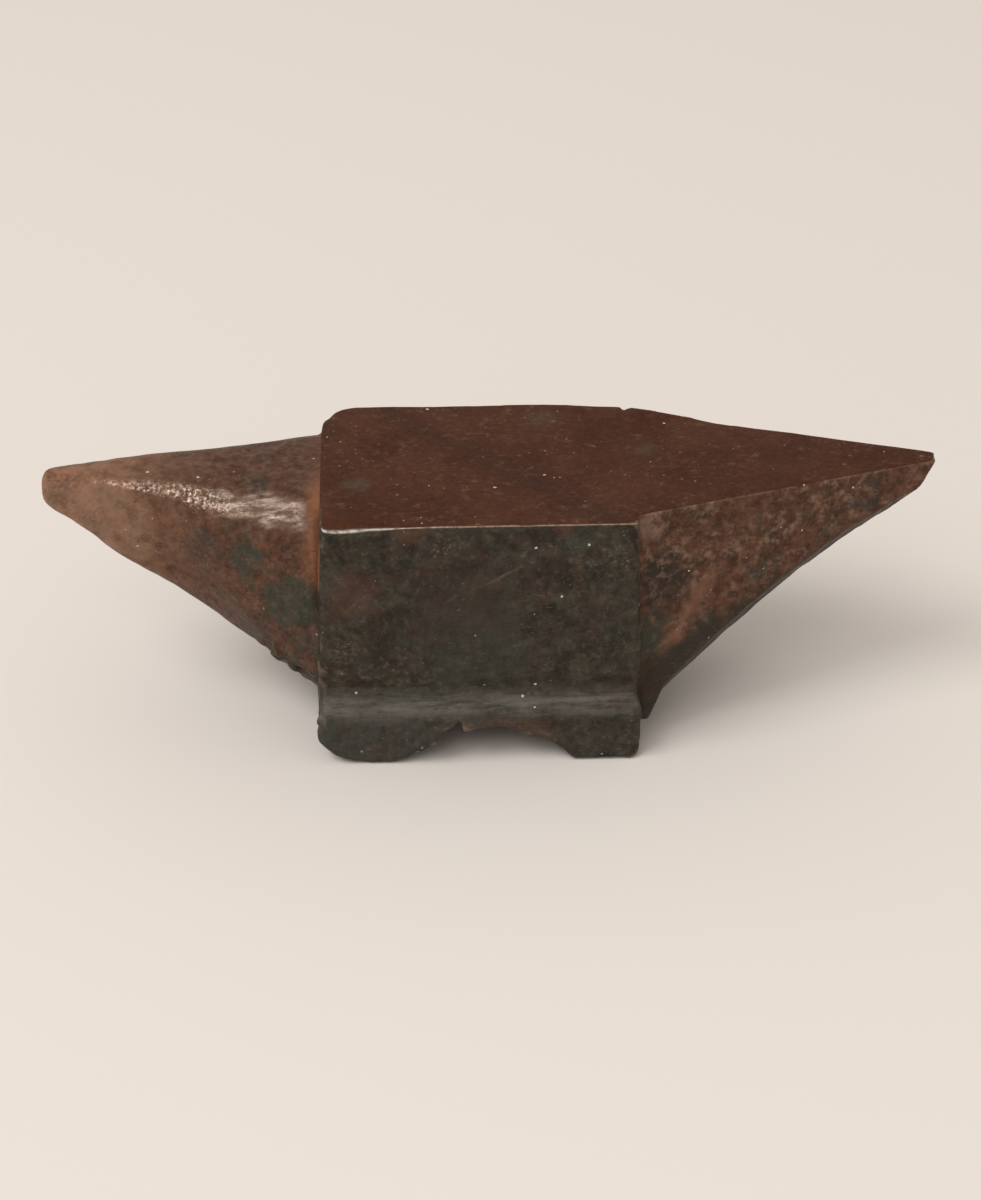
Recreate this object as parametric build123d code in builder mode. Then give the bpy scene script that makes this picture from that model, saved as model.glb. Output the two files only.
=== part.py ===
from build123d import *
import math
import os

# Small double-beaked anvil, forge-welded from eight pieces: a core, a steel face plate,
# a rounded horn, a square heel and four corner feet. Millimetres, +Z up.
# The origin is on the ground, at the centre of the whole anvil seen from above.
# The horn points to -X and the heel to +X.

# Driving dimensions
face_length = 102
face_width = 83
anvil_height = 89
horn_reach = 92
heel_reach = 102
plate_thickness = 9
edge_radius = 3

# The body widens downwards to a shoulder, where the base begins.
shoulder_z = 29
shoulder_length = 106.5
shoulder_width = 86
ledge_z = 18
base_width = 89.5

# The core's keel fills the middle of the base, above the ground.
keel_z = 15
keel_length = 50
keel_width = 42

# Arches between the feet. The front and rear arch is steeper on the horn's side: its points are
# (distance from the body's centre, height). The corner feet meet under its crown.
side_arch_points = ((-21, 0), (-9.5, 11.7), (5, 13), (20, 8.5), (31, 0))
arch_seam = 5
end_arch_width = 38
end_arch_crown = 9

# Horn: width, depth and corner radii at the root and at the nose
horn_root_width = 71
horn_nose_width = 9
horn_root_depth = 80
horn_nose_depth = 11.5
horn_root_radii = (18, 30)
horn_nose_radii = (3.2, 4.2)
nose_rounding = 3.6

# Heel: half widths in plan, and its underside as (reach from the body, height above the ground)
heel_root_half = 36.5
heel_tip_half = 3
heel_chin = (6, 6.5)
sweep_start = (11, 14)
sweep_middle = (46, 41.6)
sweep_end = (94.5, 76)

# The heel's lower corners are cut away at 45 degrees. Depth of the cut at each point of the underside
chin_cut = 4
start_cut = 8
middle_cut = 10
end_cut = 3

# Stubs that seat the horn and the heel in the core
stub_depth = 12
stub_width = 30
stub_height = 24
stub_z = 52

# How far a beak starts inside the body before the body is cut away from it
root_overlap = 1

body_x = (horn_reach - heel_reach) / 2
horn_x = body_x - face_length / 2
heel_x = body_x + face_length / 2
tip_x = heel_x + heel_reach
plate_z = anvil_height - plate_thickness

os.makedirs("parts", exist_ok=True)


def body_outline(height, length, width):
    """Rounded rectangle across the body at a height above the ground."""
    with BuildSketch(Plane.XY.offset(height)) as outline:
        with Locations((body_x, 0)):
            RectangleRounded(length, width, edge_radius)
    return outline.sketch


def end_arch():
    """Profile of the low arch under each end."""
    springing = end_arch_width / 2
    with BuildSketch(Plane.YZ.offset(-face_length)) as arch:
        with BuildLine():
            ThreePointArc((-springing, 0), (0, end_arch_crown), (springing, 0))
            Line((springing, 0), (-springing, 0))
        make_face()
    return arch.sketch


def side_arch():
    """Profile of the arch under the front and the rear."""
    with BuildSketch(Plane.XZ.offset(-base_width)) as arch:
        with BuildLine():
            crown = Spline([(body_x + x, z) for x, z in side_arch_points])
            Line(crown @ 1, crown @ 0)
        make_face()
    return arch.sketch


def stub_section(end_x):
    """Section of a beak's stub and of its socket, a stub's depth to the left of an end."""
    with BuildSketch(Plane.YZ.offset(end_x - stub_depth)) as section:
        with Locations((0, stub_z)):
            Rectangle(stub_width, stub_height)
    return section.sketch


# Core: tapered block, keel, and a socket in each end
with BuildPart() as core_block:
    shoulder = body_outline(shoulder_z, shoulder_length, shoulder_width)
    loft([shoulder, body_outline(plate_z, face_length, face_width)])
    with BuildSketch(Plane.XY.offset(keel_z)):
        with Locations((body_x, 0)):
            Rectangle(keel_length, keel_width)
    extrude(amount=shoulder_z - keel_z)
    for end_x in (horn_x, heel_x):
        extrude(stub_section(end_x), amount=2 * stub_depth, mode=Mode.SUBTRACT)
core_block.part.label = "core_block"
export_step(core_block.part, "parts/core_block.step")

# Face plate: over the body and the heel, with the heel's raked tip
with BuildPart() as face_plate:
    extrude(body_outline(plate_z, face_length, face_width), amount=plate_thickness)
    with BuildSketch(Plane.XY.offset(plate_z)):
        with BuildLine():
            Polyline(
                (body_x, heel_root_half),
                (heel_x, heel_root_half),
                (tip_x, heel_tip_half),
                (tip_x, -heel_tip_half),
                (heel_x, -heel_root_half),
                (body_x, -heel_root_half),
                close=True,
            )
        make_face()
    extrude(amount=plate_thickness)
    with BuildSketch(Plane.XZ.offset(-face_width)):
        with BuildLine():
            Polyline(
                (tip_x, anvil_height),
                (heel_x + sweep_end[0], sweep_end[1]),
                (tip_x, sweep_end[1]),
                close=True,
            )
        make_face()
    extrude(amount=2 * face_width, mode=Mode.SUBTRACT)
face_plate.part.label = "face_plate"
export_step(face_plate.part, "parts/face_plate.step")


def corner_foot(name, end_side, face_side):
    """One corner of the base: the spread base without the keel, the arches and the other corners."""
    seam_x = body_x + arch_seam
    outer_x = body_x + end_side * shoulder_length
    with BuildPart() as foot:
        extrude(body_outline(0, shoulder_length, base_width), amount=ledge_z)
        ledge = body_outline(ledge_z, shoulder_length, base_width)
        loft([ledge, body_outline(shoulder_z, shoulder_length, shoulder_width)])
        with BuildSketch():
            with Locations((body_x, 0)):
                Rectangle(keel_length, keel_width)
        extrude(amount=shoulder_z, mode=Mode.SUBTRACT)
        extrude(side_arch(), amount=2 * base_width, mode=Mode.SUBTRACT)
        extrude(end_arch(), amount=2 * face_length, mode=Mode.SUBTRACT)
        with BuildSketch():
            with BuildLine():
                Polyline(
                    (seam_x, 0),
                    (outer_x, 0),
                    (outer_x, face_side * base_width),
                    (seam_x, face_side * base_width),
                    close=True,
                )
            make_face()
        extrude(amount=shoulder_z, mode=Mode.INTERSECT)
    foot.part.label = name
    export_step(foot.part, f"parts/{name}.step")
    return foot.part


feet = [
    corner_foot("foot_front_left", -1, -1),
    corner_foot("foot_front_right", 1, -1),
    corner_foot("foot_rear_left", -1, 1),
    corner_foot("foot_rear_right", 1, 1),
]


def cut_body():
    """Remove the body's pieces from a beak, so that it meets their faces exactly."""
    extrude(end_arch(), amount=2 * face_length, mode=Mode.SUBTRACT)
    add(core_block.part, mode=Mode.SUBTRACT)
    add(face_plate.part, mode=Mode.SUBTRACT)
    add(feet, mode=Mode.SUBTRACT)


def horn_section(plane_x, width, depth, radii):
    """Flat-topped section across the horn, rounder below than above."""
    top_radius, bottom_radius = radii
    with BuildSketch(Plane.YZ.offset(plane_x)) as section:
        with Locations((0, anvil_height)):
            Rectangle(width, depth, align=(Align.CENTER, Align.MAX))
        fillet(section.vertices().group_by(Axis.Y)[-1], top_radius)
        fillet(section.vertices().group_by(Axis.Y)[0], bottom_radius)
    return section.sketch


# Horn: straight taper from the root to a blunt rounded nose
with BuildPart() as horn:
    root = horn_section(horn_x + root_overlap, horn_root_width, horn_root_depth, horn_root_radii)
    nose = horn_section(horn_x - horn_reach, horn_nose_width, horn_nose_depth, horn_nose_radii)
    loft([root, nose], ruled=True)
    fillet(horn.faces().sort_by(Axis.X)[0].edges(), nose_rounding)
    extrude(stub_section(horn_x), amount=2 * stub_depth)
    cut_body()
horn.part.label = "horn"
export_step(horn.part, "parts/horn.step")


def swept_profile(plane, chin, start, middle, end, tip):
    """What lies above the heel's underside, in a plane whose X runs out from the body."""
    with BuildSketch(plane) as profile:
        with BuildLine():
            ThreePointArc(start, middle, end)
            Polyline(end, tip, (-root_overlap, tip[1]), (-root_overlap, chin[1]), chin, start)
        make_face()
    return profile.sketch


def corner_point(underside_point, cut):
    """A point of the underside seen along the 45 degree cut of a lower corner."""
    reach, height = underside_point
    half_width = heel_root_half + (heel_tip_half - heel_root_half) * reach / heel_reach
    return (reach, (height - half_width + cut) * math.sqrt(0.5))


# Heel: tapered in plan, swept up underneath from the foot to the raked tip
with BuildPart() as heel:
    with BuildSketch():
        with BuildLine():
            Polyline(
                (heel_x - root_overlap, heel_root_half),
                (tip_x, heel_tip_half),
                (tip_x, -heel_tip_half),
                (heel_x - root_overlap, -heel_root_half),
                close=True,
            )
        make_face()
    extrude(amount=anvil_height)
    side_plane = Plane(origin=(heel_x, 0, 0), x_dir=(1, 0, 0), z_dir=(0, -1, 0))
    tip = (heel_reach, anvil_height)
    side = swept_profile(side_plane, heel_chin, sweep_start, sweep_middle, sweep_end, tip)
    extrude(side, amount=anvil_height, both=True, mode=Mode.INTERSECT)
    for rear in (1, -1):
        corner_plane = Plane(origin=(heel_x, 0, 0), x_dir=(1, 0, 0), z_dir=(0, -1, -rear))
        corner = swept_profile(
            corner_plane,
            corner_point(heel_chin, chin_cut),
            corner_point(sweep_start, start_cut),
            corner_point(sweep_middle, middle_cut),
            corner_point(sweep_end, end_cut),
            (2 * heel_reach, anvil_height),
        )
        extrude(corner, amount=2 * anvil_height, both=True, mode=Mode.INTERSECT)
    extrude(stub_section(heel_x), amount=2 * stub_depth)
    cut_body()
heel.part.label = "heel"
export_step(heel.part, "parts/heel.step")
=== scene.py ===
import math

import bmesh
import bpy
import numpy as np
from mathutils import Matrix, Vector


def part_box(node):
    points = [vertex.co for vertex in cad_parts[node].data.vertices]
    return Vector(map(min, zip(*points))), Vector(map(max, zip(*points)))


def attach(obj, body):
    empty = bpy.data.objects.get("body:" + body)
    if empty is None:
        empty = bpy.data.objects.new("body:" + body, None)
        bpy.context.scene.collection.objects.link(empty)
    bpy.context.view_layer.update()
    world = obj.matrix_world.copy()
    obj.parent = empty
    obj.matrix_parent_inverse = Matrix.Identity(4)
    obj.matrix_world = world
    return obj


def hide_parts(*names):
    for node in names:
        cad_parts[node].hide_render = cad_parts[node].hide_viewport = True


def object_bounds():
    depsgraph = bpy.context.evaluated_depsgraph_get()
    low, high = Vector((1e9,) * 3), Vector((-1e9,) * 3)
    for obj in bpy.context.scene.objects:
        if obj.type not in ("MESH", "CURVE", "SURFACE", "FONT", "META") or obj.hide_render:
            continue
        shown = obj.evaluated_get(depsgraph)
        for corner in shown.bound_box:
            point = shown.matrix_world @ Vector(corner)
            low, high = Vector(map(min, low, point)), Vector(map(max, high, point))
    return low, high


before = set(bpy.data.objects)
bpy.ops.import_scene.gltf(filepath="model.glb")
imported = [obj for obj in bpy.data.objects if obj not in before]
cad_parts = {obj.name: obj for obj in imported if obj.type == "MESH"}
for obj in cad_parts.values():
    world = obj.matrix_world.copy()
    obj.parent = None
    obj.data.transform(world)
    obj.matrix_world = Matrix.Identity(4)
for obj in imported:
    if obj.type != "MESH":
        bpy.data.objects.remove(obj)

import openvdb
from mathutils import Vector

# A small forge-welded anvil. The eight CAD solids are joined into one distance field, which is
# worked over like hot iron: edges are worn round, faces hammered, pitted and chipped. The finished
# skin is then cut into the eight pieces again. Shapes are in millimetres, Blender objects in metres.

MM = 0.001
cad_low, cad_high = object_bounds()

# Grid of the distance field: its spacing, the cells kept on each side of the surface, and the room
# left round the CAD box
VOXEL = 0.66
BAND = 8
MARGIN = 4

# Far enough to pass right through the anvil
FAR = 300


def box_mm(node):
    """Lowest and highest corner of a CAD node, in millimetres."""
    low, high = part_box(node)
    return Vector(low) / MM, Vector(high) / MM


# Places taken from the frame
plate_low, plate_high = box_mm("face_plate")
left_foot_low, left_foot_high = box_mm("foot_front_left")
right_foot_high = box_mm("foot_rear_right")[1]
horn_low, horn_high = box_mm("horn")

top_z = plate_high.z
plate_z = plate_low.z
shoulder_z = right_foot_high.z
base_left = left_foot_low.x
base_right = right_foot_high.x
base_front = left_foot_low.y
base_rear = right_foot_high.y
body_x = (base_left + base_right) / 2
face_left = plate_low.x
face_right = 2 * body_x - face_left
foot_seam_x = left_foot_high.x
nose_x = horn_low.x
tip_x = box_mm("heel")[1].x

# About where the heel's underside reaches its tip
TIP_Z = 74

# Hidden joints inside the body, as in the CAD part: the core's keel between the feet, and the beaks'
# stubs in the core. Each overlap is how far the space cut for one reaches back into its own piece.
KEEL_LENGTH = 50
KEEL_WIDTH = 42
KEEL_OVERLAP = 5
STUB_WIDTH = 30
STUB_HEIGHT = 24
STUB_MIDDLE = 52
STUB_OVERLAP = 10
stub_depth = horn_high.x - face_left


# ---------------------------------------------------------------- distance field

def grid_axis(low, high):
    """Coordinates of the grid along one axis, and the number of its first cell."""
    first = math.floor((low - MARGIN) / VOXEL)
    last = math.ceil((high + MARGIN) / VOXEL)
    return first, np.arange(first, last + 1) * VOXEL


grid_axes = [grid_axis(low / MM, high / MM) for low, high in zip(cad_low, cad_high)]
first_cell = tuple(axis[0] for axis in grid_axes)
x_axis, y_axis, z_axis = (axis[1].astype(np.float32) for axis in grid_axes)
X = x_axis[:, None, None]
Y = y_axis[None, :, None]
Z = z_axis[None, None, :]


def along_axes(values, matrices):
    """Apply one matrix along each axis of a block of values."""
    for axis, matrix in enumerate(matrices):
        turned = np.moveaxis(values, axis, 0)
        shape = turned.shape
        turned = matrix.astype(np.float32) @ turned.reshape(shape[0], -1)
        values = np.moveaxis(turned.reshape(-1, *shape[1:]), 0, axis)
    return np.ascontiguousarray(values)


def blurred(values, radius):
    """Values smoothed over a radius in millimetres."""
    reach = math.ceil(2.5 * radius / VOXEL)
    weights = np.exp(-0.5 * (np.arange(-reach, reach + 1) * VOXEL / radius) ** 2)
    weights = (weights / weights.sum()).astype(np.float32)
    for axis in range(3):
        margins = [(reach, reach) if axis == other else (0, 0) for other in range(3)]
        rows = np.moveaxis(np.pad(values, margins, mode="edge"), axis, 0)
        length = values.shape[axis]
        total = sum(weight * rows[start:start + length] for start, weight in enumerate(weights))
        values = np.moveaxis(total, 0, axis)
    return np.ascontiguousarray(values)


def spline_matrix(axis, size):
    """Cubic B-spline weights that spread a coarse row of values along a grid axis."""
    place = (axis - axis[0]) / size + 1
    knots = np.arange(int(place[-1]) + 3)
    gap = np.abs(place[:, None] - knots[None, :])
    near = 2 / 3 - gap ** 2 + gap ** 3 / 2
    far = np.clip(2 - gap, 0, None) ** 3 / 6
    return np.where(gap < 1, near, far)


def lumps(seed, size_x, size_y=None, size_z=None):
    """Smooth random values of about unit spread, with lumps of the given size in millimetres."""
    sizes = (size_x, size_y or size_x, size_z or size_x)
    matrices = [spline_matrix(axis, size) for axis, size in zip((x_axis, y_axis, z_axis), sizes)]
    coarse = np.random.default_rng(seed).normal(0, 1, [m.shape[1] for m in matrices])
    spread = 0.33
    return along_axes(coarse.astype(np.float32), matrices) / spread


def ramp(values, start, end):
    """0 at start, 1 at end and smooth between them."""
    share = np.clip((values - start) / (end - start), 0, 1)
    return share * share * (3 - 2 * share)


def bump(values, middle, reach):
    """1 at the middle, falling smoothly to 0 at a distance."""
    return 1 - ramp(np.abs(values - middle), 0, reach)


def joined_solids():
    """The eight CAD solids as one closed mesh: points in millimetres and triangles."""
    copies = []
    for name in sorted(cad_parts):
        shape = bmesh.new()
        shape.from_mesh(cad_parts[name].data)
        bmesh.ops.remove_doubles(shape, verts=shape.verts, dist=0.0001 * MM)
        mesh = bpy.data.meshes.new("joint_work")
        shape.to_mesh(mesh)
        shape.free()
        copies.append(temporary(mesh))
    whole = copies[0]
    for other in copies[1:]:
        add_boolean(whole, other, "UNION")
    mesh = evaluated_mesh(whole)
    mesh.calc_loop_triangles()
    points = np.zeros(3 * len(mesh.vertices), np.float32)
    mesh.vertices.foreach_get("co", points)
    triangles = np.zeros(3 * len(mesh.loop_triangles), np.int32)
    mesh.loop_triangles.foreach_get("vertices", triangles)
    for copy in copies:
        discard(copy)
    return points.reshape(-1, 3) / MM, triangles.reshape(-1, 3).astype(np.uint32)


def temporary(mesh):
    """A working object, linked so that its modifiers are evaluated."""
    item = bpy.data.objects.new("work", mesh)
    bpy.context.scene.collection.objects.link(item)
    return item


def discard(item):
    """Remove a working object and its mesh."""
    mesh = item.data
    bpy.data.objects.remove(item)
    bpy.data.meshes.remove(mesh)


def add_boolean(item, other, operation):
    """Add a boolean modifier for closed meshes."""
    modifier = item.modifiers.new("cut", "BOOLEAN")
    modifier.operation = operation
    modifier.solver = "MANIFOLD"
    modifier.object = other


def evaluated_mesh(item):
    """The object's mesh with its modifiers applied, as new data."""
    graph = bpy.context.evaluated_depsgraph_get()
    return bpy.data.meshes.new_from_object(item.evaluated_get(graph))


def cad_field():
    """Signed distance from the joined CAD solids in millimetres, negative inside."""
    points, triangles = joined_solids()
    transform = openvdb.createLinearTransform(voxelSize=VOXEL)
    grid = openvdb.FloatGrid.createLevelSetFromPolygons(
        points, triangles=triangles, transform=transform, halfWidth=BAND
    )
    size = [len(axis) for axis in (x_axis, y_axis, z_axis)]
    values = np.full(size, grid.background, np.float32)
    grid.copyToArray(values, ijk=first_cell)
    return values


# ---------------------------------------------------------------- forging the shape

def worn_share():
    """How strongly each place's edges are worn round, from 0 to 1."""
    front_edge = ramp(-Y, 36, 41) * ramp(Z, 82, 87) * bump(X, face_left + 12, 26)
    back_corner = ramp(Y, 24, 38) * ramp(Z, 70, 80) * ramp(-X, -face_left - 14, -face_left - 3)
    feet = 1 - ramp(Z, 3, 9)
    corners = 0.25 * ramp(np.abs(Y), 30, 40) * (1 - ramp(Z, 74, 82))
    nose = 0.5 * ramp(-X, -nose_x - 12, -nose_x)
    share = np.maximum(front_edge, back_corner)
    for other in (0.3 * feet, corners, nose):
        share = np.maximum(share, other)
    return np.clip(share + 0.25 * np.clip(lumps(11, 14), -1, 1) * (share > 0.02), 0, 1)


def square_corners(values):
    """The body's upright corners are nearly sharp: the CAD part's rounding is filled to a smaller one."""
    rounding = 1.4
    down = np.clip((plate_z - Z) / (plate_z - shoulder_z), 0, 1.2)
    half_length = (face_right - face_left) / 2 + down * (face_left - base_left)
    half_width = plate_high.y + down * 1.5
    past_x = np.abs(X - body_x) - half_length + rounding
    past_y = np.abs(Y) - half_width + rounding
    outside = np.sqrt(np.clip(past_x, 0, None) ** 2 + np.clip(past_y, 0, None) ** 2)
    corner = np.maximum(outside, np.minimum(np.maximum(past_x, past_y), 0)) - rounding
    reach = np.minimum(past_x + 5, past_y + 5)
    corner = np.maximum(np.maximum(corner, -reach), Z - top_z)
    return np.minimum(values, np.maximum(corner, 6 - Z))


def lower_front_edge(values):
    """The left third of the face's front edge is hammered down."""
    slope = Z - top_z + 1.9 + 0.5 * (-Y - plate_high.y)
    share = bump(X, face_left + 8, 34) * ramp(-Y, 30, 34)
    slope = slope * share - 3 * (1 - share) + 0.25 * np.clip(lumps(12, 8), -1.5, 1.5) * share
    return smooth_cut(values, slope, 1.2)


def wear_edges(values):
    """Round every edge a little and the worn ones more."""
    crisp = blurred(values, 0.45)
    worn = blurred(values, 1.7)
    share = worn_share()
    return crisp + (worn - crisp) * share


def smooth_cut(values, cutter, reach):
    """Cut away where the cutter is positive, rounding the new edge over a reach."""
    blend = np.clip(0.5 + 0.5 * (cutter - values) / reach, 0, 1)
    return values + (cutter - values) * blend + reach * blend * (1 - blend)


def shape_feet(values):
    """The front left foot's sole is hammered convex; its neighbours only lose their sharp ends."""
    toe = base_left + 17
    outside = np.clip(toe - X, 0, None)
    inside = np.clip(X - toe - 3, 0, None)
    rise = 6.4 * (outside / 17) ** 2.1 + 3.6 * (inside / 12) ** 2
    depth = ramp(-Y, -6, 30) * ramp(foot_seam_x - 8 - X, 0, 4)
    sole = rise * depth - 0.1 - Z
    values = smooth_cut(values, sole * 0.9, 0.8)
    corner_reach = np.clip(np.abs(X - body_x) - (base_right - body_x) + 4, 0, 4)
    side_reach = np.clip(np.abs(Y) - base_rear + 3, 0, 3)
    bevel = corner_reach + 0.6 * side_reach - Z - 3.4
    return smooth_cut(values, bevel * 0.7, 1.2)


def shape_ledge(values):
    """The slope above the ledge is a shallow cove, hammered in unevenly."""
    side = ramp(np.abs(Y), 34, 42)
    cove = bump(Z, shoulder_z - 3.5, 8.5) * side
    lip = bump(Z, shoulder_z - 12, 5) * side
    uneven = 1 + 0.35 * np.clip(lumps(21, 16), -1.5, 1.5)
    return values + (1.5 * cove - 0.35 * lip) * uneven


def soften_horn(values):
    """Melt the creases out of the horn: broadly at its root, less towards its nose."""
    rooted = ramp(-X, 1 - face_left, 16 - face_left)
    broad = ramp(X, nose_x + 22, nose_x + 60)
    slim = ramp(X, nose_x + 1, nose_x + 14)
    swell = 0.45 + 0.35 * ramp(X, nose_x + 10, nose_x + 40)
    melted = blurred(values, 2.4)
    melted = melted + (blurred(values, 5.5) - melted) * broad - swell
    return values + (melted - values) * rooted * slim


def widen_heel_root(values):
    """The heel's rear side stands a little prouder beside the body."""
    root = ramp(X, face_right + 0.5, face_right + 3) * (1 - ramp(X, face_right + 20, tip_x))
    return values - 0.9 * ramp(Y, 25, 33) * root


def wear_back_corners(values):
    """The face's two far corners are broken down by use, most on the left."""
    along = (X - face_left) * 0.84 + (base_rear - 3 - Y) * 0.3
    cut = 3.4 - along + 0.5 * np.clip(lumps(31, 9), -1.5, 1.5)
    foot_of_cut = top_z - 5 - 20 * ramp(Y, 33, 38)
    depth = ramp(Z - foot_of_cut, 0, 8) * ramp(Y, 12, 22) * ramp(X, face_left - 2.5, face_left - 0.5)
    values = smooth_cut(values, cut * depth - 4 * (1 - depth), 1.6)
    along = (face_right - X) * 0.11 + (plate_high.y - Y)
    depth = ramp(Z, 50, 74) * ramp(Y, 37.2, 38.2)
    return smooth_cut(values, (2.8 - along) * depth - 4 * (1 - depth), 1)


def hammer_faces(values):
    """Shallow waves and dents all over, least on the ground face."""
    strength = 1 - 0.75 * ramp(Z, top_z - 14, top_z - 3)
    broad = 0.2 * lumps(41, 26)
    dents = 0.12 * lumps(42, 9)
    small = 0.07 * lumps(43, 3.2)
    torn = ramp(-X, -base_left - 8, -base_left - 3) * (1 - ramp(-X, -base_left + 14, -base_left + 26))
    torn = torn * (1 - ramp(Z, 34, 48)) * 0.36 * np.clip(lumps(44, 2.2), -1.5, 1.5)
    return values + strength * (broad + dents + small) + torn + 0.1


def sink_face(values):
    """The face is dished slightly by use and carries a few soft dents."""
    ground_face = ramp(Z, top_z - 4, top_z - 1)
    middle = bump(X, body_x, 70) * bump(Y, 0, 50)
    dents = np.clip(lumps(51, 7) - 1.5, 0, 1.2)
    return values + ground_face * (0.25 * middle + 0.28 * dents)


def pit_surface(values):
    """Rust pits in clusters, deepest on the beaks and round the feet."""
    clusters = ramp(lumps(61, 22), 0.1, 1.1)
    pits = np.clip(lumps(62, 2.6) - 1.0, 0, 1.6)
    beaks = np.maximum(ramp(-X, -face_left, -face_left + 10), ramp(X, face_right, face_right + 10))
    low = 1 - ramp(Z, 24, 40)
    ground_face = ramp(Z, top_z - 2.5, top_z - 0.8)
    depth = (0.12 + 0.2 * beaks + 0.18 * low) * (1 - 0.85 * ground_face)
    return values + depth * pits * clusters


def chip_edges(values):
    """Small bites out of the sharpest edges."""
    sharp = np.clip(blurred(values, 1.6) - values, 0, 0.8) / 0.8
    bites = np.clip(lumps(71, 4.5, 4.5, 3.5) - 1.1, 0, 1.5)
    ripple = 0.22 * np.clip(lumps(72, 5), -0.7, 2)
    kept = 1 - 0.7 * ramp(Z, top_z - 7, top_z - 3)
    return values + sharp * (0.9 * bites + ripple) * kept


def tear_arch(values):
    """The crown of the front arch is ragged where the feet were drawn down, most on the left."""
    front = ramp(-Y, 36, 42) * ramp(Z, 1, 5) * (1 - ramp(Z, 13, 18))
    left = bump(X, body_x - 13, 15)
    torn = np.clip(lumps(81, 1.9, 3, 1.9), -1.5, 1.5)
    right = 0.3 * bump(X, body_x + 14, 20)
    ragged = (0.9 * left + right) * torn - 0.7 * left
    return values + front * ragged


def groove(values, route, width, depth):
    """A crack along straight runs between points, cut into the surface."""
    nearest = np.full(values.shape, FAR, np.float32)
    for start, end in zip(route[:-1], route[1:]):
        start = np.array(start, np.float32)
        run = np.array(end, np.float32) - start
        from_start = (X - start[0], Y - start[1], Z - start[2])
        share = from_start[0] * run[0] + from_start[1] * run[1] + from_start[2] * run[2]
        share = np.clip(share / run.dot(run), 0, 1)
        gap = (from_start[0] - share * run[0]) ** 2 + (from_start[1] - share * run[1]) ** 2
        gap = gap + (from_start[2] - share * run[2]) ** 2
        nearest = np.minimum(nearest, np.sqrt(gap))
    return values + depth * (1 - ramp(nearest, 0.2 * width, width))


def open_cracks(values):
    """A cold shut near the lower left of the front, and a shorter one at the back."""
    left = base_left + 1
    front_route = [
        (left - 0.6, base_front + 2, 46),
        (left - 0.2, base_front + 2, 42),
        (left + 1.2, base_front + 1.6, 38.5),
        (left + 4.4, base_front + 1.6, 36.5),
        (left + 4.6, base_front + 1.4, 32),
        (left + 2, base_front + 1, 28.6),
    ]
    values = groove(values, front_route, 1.5, 0.9)
    rear_route = [
        (body_x + 30, base_rear - 1.4, 33),
        (body_x + 38, base_rear - 1.5, 36),
        (body_x + 41, base_rear - 1.6, 41),
        (body_x + 47, base_rear - 1.8, 43),
    ]
    return groove(values, rear_route, 1.3, 0.7)


def mark_welds(values):
    """Faint, broken weld lines where the plate, the beaks and the feet meet the core."""
    broken = ramp(lumps(91, 9), -0.2, 0.9)
    plate = bump(Z, plate_z + 0.6 * np.clip(lumps(92, 18), -1.5, 1.5), 0.9)
    beaks = ramp(X, face_right + 3, face_right + 6)
    values = values + 0.2 * plate * broken * (0.4 + 0.6 * beaks)
    waist = bump(Z, shoulder_z + 0.5 * np.clip(lumps(93, 15), -1.5, 1.5), 1)
    return values + 0.22 * waist * broken


def forged_skin():
    """The finished distance field."""
    values = cad_field()
    values = square_corners(values)
    values = shape_feet(values)
    values = wear_back_corners(values)
    values = lower_front_edge(values)
    values = shape_ledge(values)
    values = soften_horn(values)
    values = widen_heel_root(values)
    values = wear_edges(values)
    values = hammer_faces(values)
    values = sink_face(values)
    values = tear_arch(values)
    values = chip_edges(values)
    values = open_cracks(values)
    values = mark_welds(values)
    values = pit_surface(values)
    return np.maximum(values, 0.02 - Z)


# ---------------------------------------------------------------- meshes

def skin_mesh(values):
    """The field's zero surface as one closed mesh, in metres."""
    grid = openvdb.FloatGrid()
    grid.transform = openvdb.createLinearTransform(voxelSize=VOXEL)
    grid.background = float(values.max())
    grid.copyFromArray(values, ijk=first_cell, tolerance=0.0)
    grid.gridClass = openvdb.GridClass.LEVEL_SET
    points, quads = grid.convertToQuads(isovalue=0.0)
    mesh = bpy.data.meshes.new("skin")
    mesh.vertices.add(len(points))
    mesh.vertices.foreach_set("co", (points * MM).astype(np.float32).ravel())
    mesh.loops.add(quads.size)
    mesh.loops.foreach_set("vertex_index", quads[:, ::-1].astype(np.int32).ravel())
    mesh.polygons.add(len(quads))
    mesh.polygons.foreach_set("loop_start", np.arange(0, quads.size, 4, dtype=np.int32))
    mesh.update(calc_edges=True)
    shape = bmesh.new()
    shape.from_mesh(mesh)
    if shape.calc_volume(signed=True) < 0:
        bmesh.ops.reverse_faces(shape, faces=shape.faces)
        shape.to_mesh(mesh)
    shape.free()
    return mesh


def prism(outline, front, rear):
    """Mesh of an outline of (x, z) points carried from front to rear, in millimetres."""
    shape = bmesh.new()
    rings = [[shape.verts.new((x * MM, y * MM, z * MM)) for x, z in outline] for y in (front, rear)]
    shape.faces.new(rings[0])
    shape.faces.new(rings[1][::-1])
    for here in range(len(outline)):
        after = (here + 1) % len(outline)
        shape.faces.new((rings[0][here], rings[1][here], rings[1][after], rings[0][after]))
    bmesh.ops.recalc_face_normals(shape, faces=shape.faces)
    mesh = bpy.data.meshes.new("prism")
    shape.to_mesh(mesh)
    shape.free()
    return mesh


def block(low, high):
    """Mesh of a box between two corners, in millimetres."""
    outline = [(low[0], low[2]), (high[0], low[2]), (high[0], high[2]), (low[0], high[2])]
    return prism(outline, low[1], high[1])


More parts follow.
